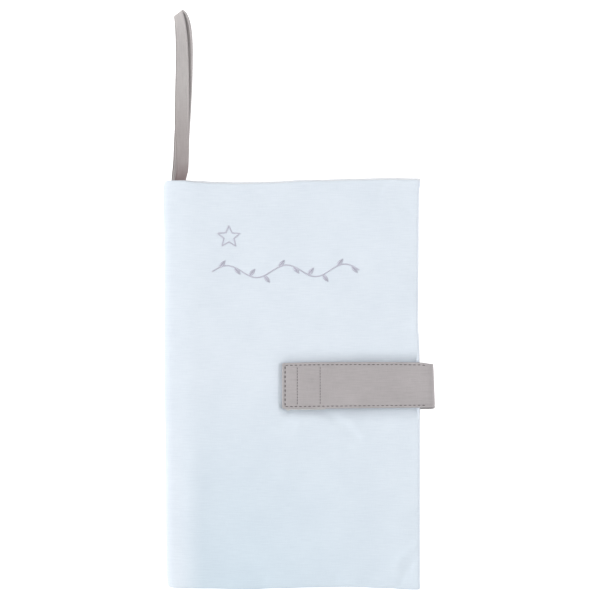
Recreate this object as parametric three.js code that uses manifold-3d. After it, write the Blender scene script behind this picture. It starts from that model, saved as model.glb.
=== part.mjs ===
// A travel changing pad: two padded panels that fold like a book, a closing strap that wraps the
// right-hand edge, and a carry loop in the top seam. It lies closed, with its back panel down.
// Millimetres, +Z up. The origin is the centre of the folded pad's underside, +X runs from the fold
// to the strap's edge and +Y to the seam with the carry loop.
import * as THREE from "three";
import { mergeVertices } from "three/addons/utils/BufferGeometryUtils.js";
import Module from "manifold-3d";

const wasm = await Module();
wasm.setup();

// Driving dimensions of the padded panels.
const foldedWidth = 250.3;
const padLength = 404.5;
const coverThickness = 0.8;
const waddingThickness = 6.4;
const liningThickness = 0.6;
const layerGap = 0.3;
const seamTaper = 17;
const seamDrawIn = 1.5;
const frontCrown = 0.8;

// The fold: a soft strip between the two panels.
const spineDepth = 4.9;
const spineBulge = 2.6;
const spineEndTaper = 15;
const foldClearance = 0.7;

// The closing strap and its hook-and-loop tapes.
const strapWidth = 45;
const strapThickness = 2;
const strapCentreY = -1.5;
const strapReach = 135.1;
const strapOverhang = 13.4;
const strapBendRadius = 5;
const strapRearLength = 60;
const strapHemInset = 2.6;
const strapHemWidth = 1.5;
const strapLift = 0.9;
const strapDentDepth = 2.1;
const strapDentMargin = 2;
const strapDentSlope = 15;
const hookTapeWidth = 25;
const hookTapeLength = 36;
const hookTapeThickness = 1.2;
const hookTapeInset = 13.6;
const loopTapeWidth = 50;
const loopTapeLength = 41;
const loopTapeThickness = 1.2;
const loopTapeInset = 9.8;

// Sewing thread, drawn as a raised line.
const threadWidth = 0.8;
const threadHeight = 0.35;
const tapeSeamInset = 1.3;
const anchorSeamLength = 34;

// The carry loop: a folded band whose two ends are sewn into the top seam.
const loopLength = 168;
const loopBandWidth = 15;
const loopBandThickness = 1.6;
const loopOpenHeight = 12.6;
const loopFromFold = 13;
const loopLean = 0.0195;
const loopTipDepth = 7;

// The embroidery: a sprig and a star in one thread.
const embroideryHeight = 0.4;
const sprigLength = 144;
const sprigHeight = 6;
const sprigCentreX = -6;
const sprigFromTop = 89.25;
const sprigWaves = 2.5;
const stemWidth = 1.1;
const leafLength = 9;
const leafWidth = 4;
const leafCount = 10;
const starRadius = 12;
const starInnerShare = 0.45;
const starStroke = 1.1;
const starCentreX = -62;
const starFromTop = 54.25;

// Places that follow from the dimensions.
const panelThickness = coverThickness + waddingThickness + liningThickness + 2 * layerGap;
const closedThickness = 2 * panelThickness + layerGap;
const foldX = -foldedWidth / 2;
const rightX = foldedWidth / 2;
const topY = padLength / 2;
const bottomY = -padLength / 2;
const sprigCentreY = topY - sprigFromTop;
const starCentreY = topY - starFromTop;
const panelStartX = foldX + spineDepth + foldClearance;
const seamThickness = coverThickness + liningThickness + layerGap;
const seamDepth = (panelThickness - seamThickness) / 2;
const foldRadius = closedThickness / 2;

const clamp = (value) => Math.min(1, Math.max(0, value));
const smooth = (t) => clamp(t) ** 2 * (3 - 2 * clamp(t));
const between = (a, b, share) => a + (b - a) * share;

// How full the padding is at a distance from a seam: 0 at the seam, 1 where it has its full height.
function rise(distance) {
  return Math.sqrt(1 - (1 - clamp(distance / seamTaper)) ** 2);
}

function fullness(x, y) {
  return rise(rightX - x) * rise(topY - y) * rise(y - bottomY);
}

// How far a panel's outer face falls away as it turns into the round fold.
function foldDrop(x) {
  const inward = Math.min(foldRadius, x - foldX);
  return foldRadius - Math.sqrt(foldRadius ** 2 - (foldRadius - inward) ** 2);
}

// Depth of a panel's outer face and of its lining's face, both counted from the panel's outer plane.
const outerDepth = (x, y) => between(seamDepth, foldDrop(x), fullness(x, y));
const innerDepth = (x, y) =>
  between(seamDepth + seamThickness, panelThickness, fullness(x, y));

// Where the strap lies: its rear leg below the back panel and its flap above the front panel.
const strapLowY = strapCentreY - strapWidth / 2;
const strapHighY = strapCentreY + strapWidth / 2;
const strapTurnX = rightX + strapOverhang - strapThickness / 2;
const rearLegZ = strapLift + strapThickness / 2;
const seatZ = closedThickness - strapDentDepth;
const loopTapeZ = seatZ + layerGap;
const hookTapeZ = loopTapeZ + loopTapeThickness + layerGap;
const flapLowZ = hookTapeZ + hookTapeThickness + layerGap;
const flapZ = flapLowZ + strapThickness / 2;
const flapEndX = rightX - strapReach;
const rearEndX = rightX - strapRearLength;
const recessZ = rearLegZ + strapThickness / 2 + layerGap;

// How much of the strap's dent a place has: 1 under the strap, falling to 0 past its edges.
function dentShare(x, y, endX) {
  const beyondEnd = endX - strapDentMargin - x;
  const beyondSide = Math.abs(y - strapCentreY) - strapWidth / 2 - strapDentMargin;
  const beyond = Math.hypot(Math.max(0, beyondEnd), Math.max(0, beyondSide));
  return 1 - smooth(beyond / strapDentSlope);
}

function backOuterZ(x, y) {
  const free = outerDepth(x, y);
  return between(free, Math.max(free, recessZ), dentShare(x, y, rearEndX));
}

function frontOuterZ(x, y) {
  const crown = (1 - (x / rightX) ** 2) * (1 - (y / topY) ** 2) * fullness(x, y);
  const free = closedThickness - outerDepth(x, y) + frontCrown * crown;
  return between(free, Math.min(free, seatZ), dentShare(x, y, flapEndX));
}

// Sorted grid lines through the wanted places, with steps no longer than the longest one allowed.
function gridLines(wanted, longestStep) {
  const closest = 0.8;
  const sorted = [...wanted].sort((a, b) => a - b);
  const kept = sorted.filter((line, i) => i === 0 || line - sorted[i - 1] > closest);
  return kept.flatMap((line, i) => {
    if (i === 0) return [line];
    const steps = Math.ceil((line - kept[i - 1]) / longestStep);
    return Array.from({ length: steps }, (_, n) =>
      between(kept[i - 1], line, (n + 1) / steps),
    );
  });
}

const taperSteps = [0, 0.12, 0.3, 0.6, 1].map((share) => share * seamTaper);

function panelXs(dentEndX) {
  const dent =
    dentEndX === undefined
      ? []
      : [0, 0.3, 0.7, 1].map((t) => dentEndX - strapDentMargin - t * strapDentSlope);
  const foldSide = [panelStartX, foldX + foldRadius];
  return gridLines([...foldSide, ...dent, ...taperSteps.map((d) => rightX - d)], 45);
}

function panelYs(dented) {
  const out = [0, 0.3, 0.7, 1].map((t) => strapDentMargin + t * strapDentSlope);
  const dent = dented ? out.flatMap((d) => [strapLowY - d, strapHighY + d]) : [];
  const seams = taperSteps.flatMap((d) => [bottomY + d, topY - d]);
  return gridLines([...dent, ...seams], 60);
}

// The seams are drawn in a little between their corners.
function drawnIn(x, y) {
  const along = Math.sin((Math.PI * (x - foldX)) / foldedWidth);
  const across = Math.sin((Math.PI * (y - bottomY)) / padLength);
  const nearRight = clamp(x / rightX) ** 3;
  const nearEnd = Math.abs(y / topY) ** 3 * Math.sign(y);
  return [x - seamDrawIn * across * nearRight, y - seamDrawIn * along * nearEnd];
}

function meshGeometry(points, triangles) {
  const geometry = new THREE.BufferGeometry();
  geometry.setAttribute("position", new THREE.Float32BufferAttribute(points, 3));
  geometry.setIndex(triangles);
  geometry.computeVertexNormals();
  return geometry;
}

// A closed body between two surfaces that share a grid. The second one lies on the side that
// the cross product of the u and v directions points to.
function bodyBetween(us, vs, lower, upper) {
  const points = [lower, upper].flatMap((surface) =>
    us.flatMap((u) => vs.flatMap((v) => surface(u, v))),
  );
  const rows = us.length - 1;
  const columns = vs.length - 1;
  const at = (side, i, j) => (side * us.length + i) * vs.length + j;
  const triangles = [];
  const quad = (a, b, c, d) => triangles.push(a, b, c, a, c, d);
  for (let i = 0; i < rows; i++) {
    for (let j = 0; j < columns; j++) {
      quad(at(1, i, j), at(1, i + 1, j), at(1, i + 1, j + 1), at(1, i, j + 1));
      quad(at(0, i, j), at(0, i, j + 1), at(0, i + 1, j + 1), at(0, i + 1, j));
    }
    quad(at(0, i, 0), at(0, i + 1, 0), at(1, i + 1, 0), at(1, i, 0));
    quad(at(1, i, columns), at(1, i + 1, columns), at(0, i + 1, columns), at(0, i, columns));
  }
  for (let j = 0; j < columns; j++) {
    quad(at(0, 0, j), at(1, 0, j), at(1, 0, j + 1), at(0, 0, j + 1));
    quad(at(0, rows, j), at(0, rows, j + 1), at(1, rows, j + 1), at(1, rows, j));
  }
  return meshGeometry(points, triangles);
}

const cloth = (color, roughness) =>
  new THREE.MeshStandardMaterial({ color, roughness, metalness: 0 });
const blueCotton = 0xdce7f1;
const greyCotton = 0xb2aeaf;
const threadGrey = 0xa5a1a3;
const embroideryGrey = 0xb4b4c0;

const pad = new THREE.Group();

function addPiece(group, name, geometry, color, roughness = 0.9) {
  const mesh = new THREE.Mesh(geometry, cloth(color, roughness));
  mesh.name = name;
  group.add(mesh);
  return mesh;
}

// One layer of a panel, between two heights that are functions of the place on the panel.
function panelLayer(xs, ys, lowZ, highZ) {
  return bodyBetween(
    xs,
    ys,
    (x, y) => [...drawnIn(x, y), lowZ(x, y)],
    (x, y) => [...drawnIn(x, y), highZ(x, y)],
  );
}

// The wadding stops at the first grid line inside each seam.
const insideSeams = (xs, ys) => [xs.slice(0, -1), ys.slice(1, -1)];

function addBackPanel(group) {
  const xs = panelXs(rearEndX);
  const ys = panelYs(true);
  const coverTop = (x, y) => backOuterZ(x, y) + coverThickness;
  const liningLow = (x, y) => innerDepth(x, y) - liningThickness;
  const waddingLow = (x, y) => coverTop(x, y) + layerGap;
  const waddingTop = (x, y) => liningLow(x, y) - layerGap;
  const wadding = panelLayer(...insideSeams(xs, ys), waddingLow, waddingTop);
  const lining = panelLayer(panelXs(), panelYs(false), liningLow, innerDepth);
  addPiece(group, "back_cover", panelLayer(xs, ys, backOuterZ, coverTop), blueCotton);
  addPiece(group, "back_wadding", wadding, 0xf4f4f2, 1);
  addPiece(group, "back_lining", lining, 0xf2f5f8);
}

function addFrontPanel(group) {
  const xs = panelXs(flapEndX);
  const ys = panelYs(true);
  const coverLow = (x, y) => frontOuterZ(x, y) - coverThickness;
  const liningLow = (x, y) => closedThickness - innerDepth(x, y);
  const liningTop = (x, y) => liningLow(x, y) + liningThickness;
  const waddingLow = (x, y) => liningTop(x, y) + layerGap;
  const waddingTop = (x, y) => coverLow(x, y) - layerGap;
  const wadding = panelLayer(...insideSeams(xs, ys), waddingLow, waddingTop);
  const lining = panelLayer(panelXs(), panelYs(false), liningLow, liningTop);
  addPiece(group, "front_cover", panelLayer(xs, ys, coverLow, frontOuterZ), blueCotton);
  addPiece(group, "front_wadding", wadding, 0xf4f4f2, 1);
  addPiece(group, "front_lining", lining, 0xf2f5f8);
}

// The fold's strip stands between the panels. Its outer face is rounded from top to bottom and
// drawn in towards its two ends.
function addSpine(group) {
  const middleZ = closedThickness / 2;
  const halfHeight = middleZ - coverThickness - layerGap;
  const outerX = (y, z) => {
    const fromEnd = Math.min(topY - y, y - bottomY);
    const endPull = 1 - Math.sqrt(1 - (1 - clamp(fromEnd / spineEndTaper)) ** 2);
    const roundness = Math.abs((z - middleZ) / halfHeight) ** 3;
    const room = spineDepth - coverThickness - liningThickness - layerGap;
    return foldX + Math.min(room, spineBulge * Math.max(roundness, endPull));
  };
  const endSteps = [0, 0.2, 0.5, 1].map((share) => share * spineEndTaper);
  const ys = gridLines(endSteps.flatMap((d) => [bottomY + d, topY - d]), 80);
  const zs = [-1, -0.8, -0.5, 0, 0.5, 0.8, 1].map((share) => middleZ + share * halfHeight);
  const sheet = (sheetYs, sheetZs, nearX, farX) =>
    bodyBetween(
      sheetZs,
      sheetYs,
      (z, y) => [farX(y, z), y, z],
      (z, y) => [nearX(y, z), y, z],
    );
  const innerX = foldX + spineDepth;
  const liningX = innerX - liningThickness;
  const coverBackX = (y, z) => outerX(y, z) + coverThickness;
  const waddingNearX = (y, z) => coverBackX(y, z) + layerGap;
  const waddingYs = ys.filter(
    (y) => Math.min(topY - y, y - bottomY) > spineEndTaper - 1,
  );
  const cover = sheet(ys, zs, outerX, coverBackX);
  const wadding = sheet(waddingYs, zs.slice(1, -1), waddingNearX, () => liningX - layerGap);
  const lining = sheet([bottomY, topY], [zs[0], zs.at(-1)], () => liningX, () => innerX);
  addPiece(group, "spine_cover", cover, blueCotton);
  addPiece(group, "spine_wadding", wadding, 0xf4f4f2, 1);
  addPiece(group, "spine_lining", lining, 0xf2f5f8);
}

// The strap's centre line in the XZ plane: along the underside to the right, up round the
// edge and back over the front. A stretch from one length to another gives one piece of it.
const rearRun = strapTurnX - strapBendRadius - rearEndX;
const bendArc = (Math.PI / 2) * strapBendRadius;
const uprightRun = flapZ - rearLegZ - 2 * strapBendRadius;
const flapRun = strapTurnX - strapBendRadius - flapEndX;
const bendStart = rearRun + bendArc / 2;
const bendEnd = rearRun + bendArc + uprightRun + bendArc / 2;
const strapTotal = rearRun + 2 * bendArc + uprightRun + flapRun;

// Place and direction on the centre line after a given length.
function strapAt(length) {
  const cornerX = strapTurnX - strapBendRadius;
  const afterFirstArc = rearRun + bendArc;
  const afterUpright = afterFirstArc + uprightRun;
  const afterSecondArc = afterUpright + bendArc;
  if (length <= rearRun) return { x: rearEndX + length, z: rearLegZ, turn: 0 };
  if (length <= afterFirstArc) {
    const turn = (length - rearRun) / strapBendRadius;
    return {
      x: cornerX + strapBendRadius * Math.sin(turn),
      z: rearLegZ + strapBendRadius * (1 - Math.cos(turn)),
      turn,
    };
  }
  if (length <= afterUpright) {
    const climbed = length - afterFirstArc;
    return { x: strapTurnX, z: rearLegZ + strapBendRadius + climbed, turn: Math.PI / 2 };
  }
  if (length <= afterSecondArc) {
    const turn = Math.PI / 2 + (length - afterUpright) / strapBendRadius;
    return {
      x: cornerX + strapBendRadius * Math.sin(turn),
      z: flapZ - strapBendRadius * (1 + Math.cos(turn)),
      turn,
    };
  }
  return { x: cornerX - (length - afterSecondArc), z: flapZ, turn: Math.PI };
}

// A stretch of the strap. Its hems are a little thinner than its middle.
function strapStretch(from, to) {
  const arcSteps = [0, 0.25, 0.5, 0.75, 1].map((share) => share * bendArc);
  const secondArc = rearRun + bendArc + uprightRun;
  const lines = arcSteps.flatMap((step) => [rearRun + step, secondArc + step]);
  const inside = lines.filter((length) => length > from + 0.5 && length < to - 0.5);
  const hemShare = 0.6;
  const widths = [
    [strapLowY, hemShare],
    [strapLowY + strapHemWidth, 1],
    [strapHighY - strapHemWidth, 1],
    [strapHighY, hemShare],
  ];
  const surface = (side) => (length, width) => {
    const { x, z, turn } = strapAt(length);
    const out = (side * width[1] * strapThickness) / 2;
    return [x + out * Math.sin(turn), width[0], z - out * Math.cos(turn)];
  };
  return bodyBetween([from, ...inside, to], widths, surface(1), surface(-1));
}

function boxFrom(low, high) {
  const size = high.map((value, i) => value - low[i]);
  const geometry = new THREE.BoxGeometry(...size);
  geometry.translate(...low.map((value, i) => value + size[i] / 2));
  return geometry;
}

function rectanglePath(kind, lowX, lowY, highX, highY) {
  const path = new kind();
  path.moveTo(lowX, lowY);
  path.lineTo(highX, lowY);
  path.lineTo(highX, highY);
  path.lineTo(lowX, highY);
  path.closePath();
  return path;
}

// An outline in the XY plane, raised from lowZ by the height of the thread.
function raised(shape, lowZ, height) {
  const geometry = new THREE.ExtrudeGeometry(shape, { depth: height, bevelEnabled: false });
  geometry.translate(0, 0, lowZ);
  return geometry;
}

// A line of stitching round a rectangle.
function seamRing(lowX, lowY, highX, highY, lowZ) {
  const ring = rectanglePath(THREE.Shape, lowX, lowY, highX, highY);
  const inner = [lowX + threadWidth, lowY + threadWidth];
  const outer = [highX - threadWidth, highY - threadWidth];
  ring.holes.push(rectanglePath(THREE.Path, ...inner, ...outer));
  return raised(ring, lowZ, threadHeight);
}

// The topstitching follows the flap's two long hems and its free end.
function strapEdgeSeam(lowZ) {
  const startX = strapTurnX - strapBendRadius;
  const endX = flapEndX + strapHemInset;
  const lowY = strapLowY + strapHemInset;
  const highY = strapHighY - strapHemInset;
  const line = new THREE.Shape();
  line.moveTo(startX, lowY);
  line.lineTo(endX, lowY);
  line.lineTo(endX, highY);
  line.lineTo(startX, highY);
  line.lineTo(startX, highY - threadWidth);
  line.lineTo(endX + threadWidth, highY - threadWidth);
  line.lineTo(endX + threadWidth, lowY + threadWidth);
  line.lineTo(startX, lowY + threadWidth);
  line.closePath();
  return raised(line, lowZ, threadHeight);
}

function addStrapOnBack(group) {
  const leg = strapStretch(0, bendStart - layerGap / 2);
  addPiece(group, "strap_rear_leg", leg, greyCotton);
  const seamX = rearEndX + strapHemInset;
  const seam = seamRing(
    seamX,
    strapLowY + strapHemInset,
    seamX + anchorSeamLength,
    strapHighY - strapHemInset,
    strapLift - layerGap - threadHeight,
  );
  addPiece(group, "strap_anchor_seam", seam, threadGrey);
}

function addStrapBend(group) {
  const bend = strapStretch(bendStart + layerGap / 2, bendEnd - layerGap / 2);
  addPiece(group, "strap_bend", bend, greyCotton);
}

const hookTapeX = flapEndX + hookTapeInset;

function addStrapFlap(group) {
  addPiece(group, "strap_flap", strapStretch(bendEnd + layerGap / 2, strapTotal), greyCotton);
  const lowY = strapCentreY - hookTapeLength / 2;
  const highY = strapCentreY + hookTapeLength / 2;
  const tape = boxFrom(
    [hookTapeX, lowY, hookTapeZ],
    [hookTapeX + hookTapeWidth, highY, hookTapeZ + hookTapeThickness],
  );
  addPiece(group, "hook_tape", tape, 0xc4c1c1, 0.7);
  const seamLowZ = flapLowZ + strapThickness + layerGap;
  const seamLow = strapLowY + strapHemInset + threadWidth + layerGap;
  const seamHigh = strapHighY - strapHemInset - threadWidth - layerGap;
  const lines = {
    hook_tape_seam_outer: hookTapeX + tapeSeamInset,
    hook_tape_seam_inner: hookTapeX + hookTapeWidth - tapeSeamInset - threadWidth,
  };
  for (const [name, x] of Object.entries(lines)) {
    const top = seamLowZ + threadHeight;
    const line = boxFrom([x, seamLow, seamLowZ], [x + threadWidth, seamHigh, top]);
    addPiece(group, name, line, threadGrey);
  }
  addPiece(group, "strap_edge_seam", strapEdgeSeam(seamLowZ), threadGrey);
}

// The soft tape lies in the dent under the flap.
function addLoopTape(group) {
  const lowX = flapEndX + loopTapeInset;
  const highX = lowX + loopTapeWidth;
  const lowY = strapCentreY - loopTapeLength / 2;
  const highY = strapCentreY + loopTapeLength / 2;
  const topZ = loopTapeZ + loopTapeThickness;
  const tape = boxFrom([lowX, lowY, loopTapeZ], [highX, highY, topZ]);
  addPiece(group, "loop_tape", tape, 0xc4c1c1, 1);
  const seam = seamRing(
    lowX + tapeSeamInset,
    lowY + tapeSeamInset / 2,
    highX - tapeSeamInset,
    highY - tapeSeamInset / 2,
    topZ + layerGap,
  );
  addPiece(group, "loop_tape_seam", seam, threadGrey);
}

// The carry loop in side view: a long eye, closed at the seam by a round end that turns about the
// seam, with its lower leg on the ground and its upper leg bowed above it.
function addCarryLoop(group) {
  const seamZ = seamDepth + seamThickness / 2;
  const endRadius = loopBandThickness;
  const hingeY = topY + layerGap + endRadius;
  const tipY = topY + loopLength;
  const runs = [0.02, 0.04, 0.065, 0.1, 0.16, 0.25, 0.4, 0.6, 0.8, 1];
  const straight = tipY - loopTipDepth - hingeY;
  const lowZ = (y) => (seamZ - endRadius) * (1 - smooth((y - hingeY) / 12));
  const highZ = (y) => {
    const base = seamZ + endRadius;
    return between(base, loopOpenHeight, smooth((y - hingeY) / 45));
  };
  const stations = runs.map((share) => hingeY + share * straight);
  const outline = (ys, inset, tip, closing) => {
    const middle = loopOpenHeight / 2;
    const half = middle - inset;
    const start = tipY - loopTipDepth;
    const lower = ys.map((y) => new THREE.Vector2(y, lowZ(y) + inset));
    const upper = ys.map((y) => new THREE.Vector2(y, highZ(y) - inset)).reverse();
    const turn = [-60, -30, 0, 30, 60].map((degrees) => {
      const angle = THREE.MathUtils.degToRad(degrees);
      return new THREE.Vector2(start + tip * Math.cos(angle), middle + half * Math.sin(angle));
    });
    return [...lower, ...turn, ...upper, ...closing];
  };
  const roundEnd = [90, 135, 180, 225, 270].map((degrees) => {
    const angle = THREE.MathUtils.degToRad(degrees);
    const y = hingeY + endRadius * Math.cos(angle);
    return new THREE.Vector2(y, seamZ + endRadius * Math.sin(angle));
  });
  const shape = new THREE.Shape(outline(stations, 0, loopTipDepth, roundEnd));
  const innerTip = loopTipDepth - loopBandThickness;
  const hole = outline(stations.slice(3), loopBandThickness, innerTip, []);
  shape.holes.push(new THREE.Path(hole));
  const band = new THREE.ExtrudeGeometry(shape, {
    depth: loopBandWidth,
    bevelEnabled: false,
  });
  const sideways = new THREE.Matrix4().makeBasis(
    new THREE.Vector3(0, 1, 0),
    new THREE.Vector3(0, 0, 1),
    new THREE.Vector3(1, 0, 0),
  );
  band.applyMatrix4(sideways);
  band.translate(foldX + loopFromFold - loopBandWidth / 2, 0, 0);
  const position = band.getAttribute("position");
  for (let i = 0; i < position.count; i++) {
    const lean = (position.getY(i) - topY) * loopLean;
    position.setX(i, position.getX(i) + lean);
  }
  addPiece(group, "carry_loop", band, greyCotton);
}

// A geometry as a solid that can be joined to others.
function solidOf(geometry) {
  const bare = geometry.clone();
  bare.deleteAttribute("normal");
  bare.deleteAttribute("uv");
  const merged = mergeVertices(bare, 1e-4);
  const mesh = new wasm.Mesh({
    numProp: 3,
    vertProperties: merged.getAttribute("position").array,
    triVerts: new Uint32Array(merged.index.array),
  });
  return new wasm.Manifold(mesh);
}

function joined(geometries) {
  const solid = geometries.map(solidOf).reduce((all, next) => all.add(next));
  const mesh = solid.getMesh();
  return meshGeometry([...mesh.vertProperties], [...mesh.triVerts]);
}

// Thread laid on the front cover: each point is lifted by the cover's height below it.
function laidOnFront(geometry) {
  const position = geometry.getAttribute("position");
  for (let i = 0; i < position.count; i++) {
    const cover = frontOuterZ(position.getX(i), position.getY(i));
    position.setZ(i, position.getZ(i) + cover + layerGap);
  }
  return geometry;
}

const sprigTurn = (share) => Math.sin(share * sprigWaves * 2 * Math.PI);
const sprigX = (share) => sprigCentreX + (share - 0.5) * sprigLength;
const sprigY = (share) => sprigCentreY + sprigHeight * sprigTurn(share);

function sprigStem() {
  const shares = Array.from({ length: 37 }, (_, i) => i / 36);
  const side = (sign) =>
    shares.map((t) => new THREE.Vector2(sprigX(t), sprigY(t) + (sign * stemWidth) / 2));
  const outline = [...side(-1), ...side(1).reverse()];
  return raised(new THREE.Shape(outline), 0, embroideryHeight);
}

// A pointed leaf that grows from the stem, to its upper and lower side in turn.
function sprigLeaf(index) {
  const share = (index + 0.5) / leafCount;
  const up = index % 2 === 0 ? 1 : -1;
  const leaf = new THREE.Shape();
  leaf.moveTo(0, 0);
  leaf.quadraticCurveTo(leafLength * 0.45, leafWidth * 0.9, leafLength, 0);
  leaf.quadraticCurveTo(leafLength * 0.45, -leafWidth * 0.9, 0, 0);
  const geometry = new THREE.ExtrudeGeometry(leaf, {
    depth: embroideryHeight,
    bevelEnabled: false,
    curveSegments: 4,
  });
  geometry.rotateZ(up * THREE.MathUtils.degToRad(52));
  geometry.translate(sprigX(share), sprigY(share), 0);
  return geometry;
}

function starOutline(kind, radius) {
  const corners = Array.from({ length: 10 }, (_, i) => {
    const reach = i % 2 === 0 ? radius : radius * starInnerShare;
    const angle = Math.PI / 2 + (i * Math.PI) / 5;
    const x = starCentreX + reach * Math.cos(angle);
    return new THREE.Vector2(x, starCentreY + reach * Math.sin(angle));
  });
  return new kind(corners);
}

function addEmbroidery(group) {
  const leaves = Array.from({ length: leafCount }, (_, i) => sprigLeaf(i));
  const sprig = laidOnFront(joined([sprigStem(), ...leaves]));
  addPiece(group, "sprig_embroidery", sprig, embroideryGrey, 0.7);
  const star = starOutline(THREE.Shape, starRadius);
  star.holes.push(starOutline(THREE.Path, starRadius - 2 * starStroke));
  const ring = laidOnFront(raised(star, 0, embroideryHeight));
  addPiece(group, "star_embroidery", ring, embroideryGrey, 0.7);
}

const bodies = {
  back_panel: [addBackPanel, addStrapOnBack],
  spine: [addSpine],
  front_panel: [addFrontPanel, addLoopTape, addEmbroidery],
  strap_bend: [addStrapBend],
  strap_flap: [addStrapFlap],
  carry_loop: [addCarryLoop],
};
for (const [name, builders] of Object.entries(bodies)) {
  const group = new THREE.Group();
  group.name = name;
  builders.forEach((build) => build(group));
  pad.add(group);
}

export default pad;
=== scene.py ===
import math

import bpy
import numpy as np
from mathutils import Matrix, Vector


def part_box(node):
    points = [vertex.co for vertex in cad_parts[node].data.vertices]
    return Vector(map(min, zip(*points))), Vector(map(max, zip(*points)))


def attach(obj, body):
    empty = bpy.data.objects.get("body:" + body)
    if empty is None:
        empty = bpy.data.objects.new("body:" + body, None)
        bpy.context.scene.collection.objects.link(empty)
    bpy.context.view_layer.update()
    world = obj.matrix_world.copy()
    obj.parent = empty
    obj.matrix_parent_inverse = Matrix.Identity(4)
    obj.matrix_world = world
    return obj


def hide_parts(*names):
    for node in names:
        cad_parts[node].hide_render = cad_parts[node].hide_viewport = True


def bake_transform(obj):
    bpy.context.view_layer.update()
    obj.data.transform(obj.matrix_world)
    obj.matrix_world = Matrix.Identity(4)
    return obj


# Looks of a travel changing pad that lies folded on a white table: two padded panels of pale blue
# cotton, a grey closing strap round the right-hand edge and a grey carry loop in the top seam.
# Shapes are worked out in millimetres and stored in metres.

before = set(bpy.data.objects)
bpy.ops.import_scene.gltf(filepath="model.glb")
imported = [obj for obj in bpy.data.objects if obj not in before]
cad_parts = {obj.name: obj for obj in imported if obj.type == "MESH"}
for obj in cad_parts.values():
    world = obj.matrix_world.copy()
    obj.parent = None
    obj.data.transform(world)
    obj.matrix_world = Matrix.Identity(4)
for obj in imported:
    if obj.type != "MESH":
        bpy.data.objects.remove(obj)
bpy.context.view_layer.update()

MM = 0.001
UV_NAME = "cloth"

# Places of the frame, in millimetres.
FOLD_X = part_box("spine_cover")[0].x / MM
RIGHT_X, TOP_Y = (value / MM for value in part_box("back_cover")[1].xy)
BOTTOM_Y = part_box("back_cover")[0].y / MM
BACK_MID_Z = 4.2
FRONT_MID_Z = 12.9
MIDDLE_Z = (BACK_MID_Z + FRONT_MID_Z) / 2
PAD_WIDTH = RIGHT_X - FOLD_X
PAD_LENGTH = TOP_Y - BOTTOM_Y

# The panels: half thicknesses, counted from each panel's middle plane.
FULL_HALF = 4.2
SEAM_HALF = 0.85
GROOVE_HALF = 0.15
SEAM_TAPER = 7.5
SEAM_ROUNDNESS = 3
RIGHT_STEEPNESS = 2.5
FRONT_CROWN = 0.8
COVER_CLOTH = 0.7
LINING_CLOTH = 0.6
SEAM_ALLOWANCE = 1.5

# The fold: both panels share a U-shaped middle line.
FOLD_RADIUS = (FRONT_MID_Z - BACK_MID_Z) / 2
FOLD_CENTRE_X = FOLD_X + FULL_HALF + FOLD_RADIUS
FOLD_ARC = FOLD_RADIUS * math.pi / 2
RIGHT_U = RIGHT_X - FOLD_CENTRE_X + FOLD_ARC
SQUEEZE = 0.3
SQUEEZE_START = -94
SQUEEZE_REACH = 22.6
VOID_HEIGHT = 3.9
VOID_REACH = 24
FOLD_END_PULL = 2
FOLD_END_REACH = 12
RIGHT_CORNER_RADIUS = 2.5

# The strap.
STRAP_HALF = 1.0
STRAP_CENTRE_Y = -1.5
STRAP_HALF_WIDTH = 22.5
STRAP_WIDTH = 2 * STRAP_HALF_WIDTH
STRAP_CORNER_RADIUS = 2.5
STRAP_TURN_X = 137.55
STRAP_REAR_Z = 1.9
STRAP_FLAP_Z = 19.3
STRAP_BEND = 5
STRAP_REAR_X = 65.15
STRAP_END_X = -10.7
STITCH_INSET = 2.45
TAPE_SEAMS_X = (4.4, 27.0)
SEAT_HALF = 2.1
RECESS_HALF = 1.0
DENT_SIDE_SLOPE = 17
DENT_END_SLOPE = 11


def smooth(t):
    t = np.clip(t, 0.0, 1.0)
    return t * t * (3 - 2 * t)


def mix(a, b, share):
    return a + (b - a) * share


def bump_at(x, middle, width):
    return np.exp(-(((x - middle) / width) ** 2))


def quarter_round(distance, radius):
    """Height, from 0 to 1, of a rounded edge of this radius, at a distance from the edge."""
    return np.sqrt(1 - (1 - np.clip(distance / radius, 0, 1)) ** 2)


def corner_pull(across, along):
    """How far a rounded corner draws in from a square one, in shares of its radius."""
    return across * (1 - np.sqrt(1 - along**2 / 2))


def unit(vectors):
    return vectors / np.linalg.norm(vectors, axis=-1, keepdims=True)


def lengths_along(line):
    steps = np.linalg.norm(np.diff(line, axis=0), axis=1)
    return np.concatenate([[0], np.cumsum(steps)])


def grid(rows, columns):
    return np.meshgrid(rows, columns, indexing="ij")


def border_distances(x, y):
    """How far each point of a grid lies from each of the grid's four sides."""
    return np.stack([x - x.min(), x.max() - x, y - y.min(), y.max() - y])


def spline_weights(t):
    """Weights of four points in a row, at a share t of the way between the middle two (Catmull-Rom)."""
    return (
        (-t + 2 * t**2 - t**3) / 2,
        (2 - 5 * t**2 + 3 * t**3) / 2,
        (t + 4 * t**2 - 3 * t**3) / 2,
        (t**3 - t**2) / 2,
    )


def along_knots(knots, at):
    """A smooth curve through (place, value) knots, level beyond its two ends."""
    places, values = np.array(knots, float).T
    at = np.clip(at, places[0], places[-1])
    i = np.clip(np.searchsorted(places, at, side="right") - 1, 0, len(places) - 2)
    return mix(values[i], values[i + 1], smooth((at - places[i]) / (places[i + 1] - places[i])))


def waves(x, y, seed, longest, shortest, count=14):
    """Soft unevenness from a few seeded sine waves, about -1 to 1."""
    rng = np.random.default_rng(seed)
    total = 0
    for _ in range(count):
        angle = rng.uniform(0, 2 * math.pi)
        length = rng.uniform(shortest, longest)
        phase = rng.uniform(0, 2 * math.pi)
        along = x * math.cos(angle) + y * math.sin(angle)
        total = total + np.sin(along * 2 * math.pi / length + phase)
    return total / math.sqrt(count * 2)


# Meshes from grids of points.


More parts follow.
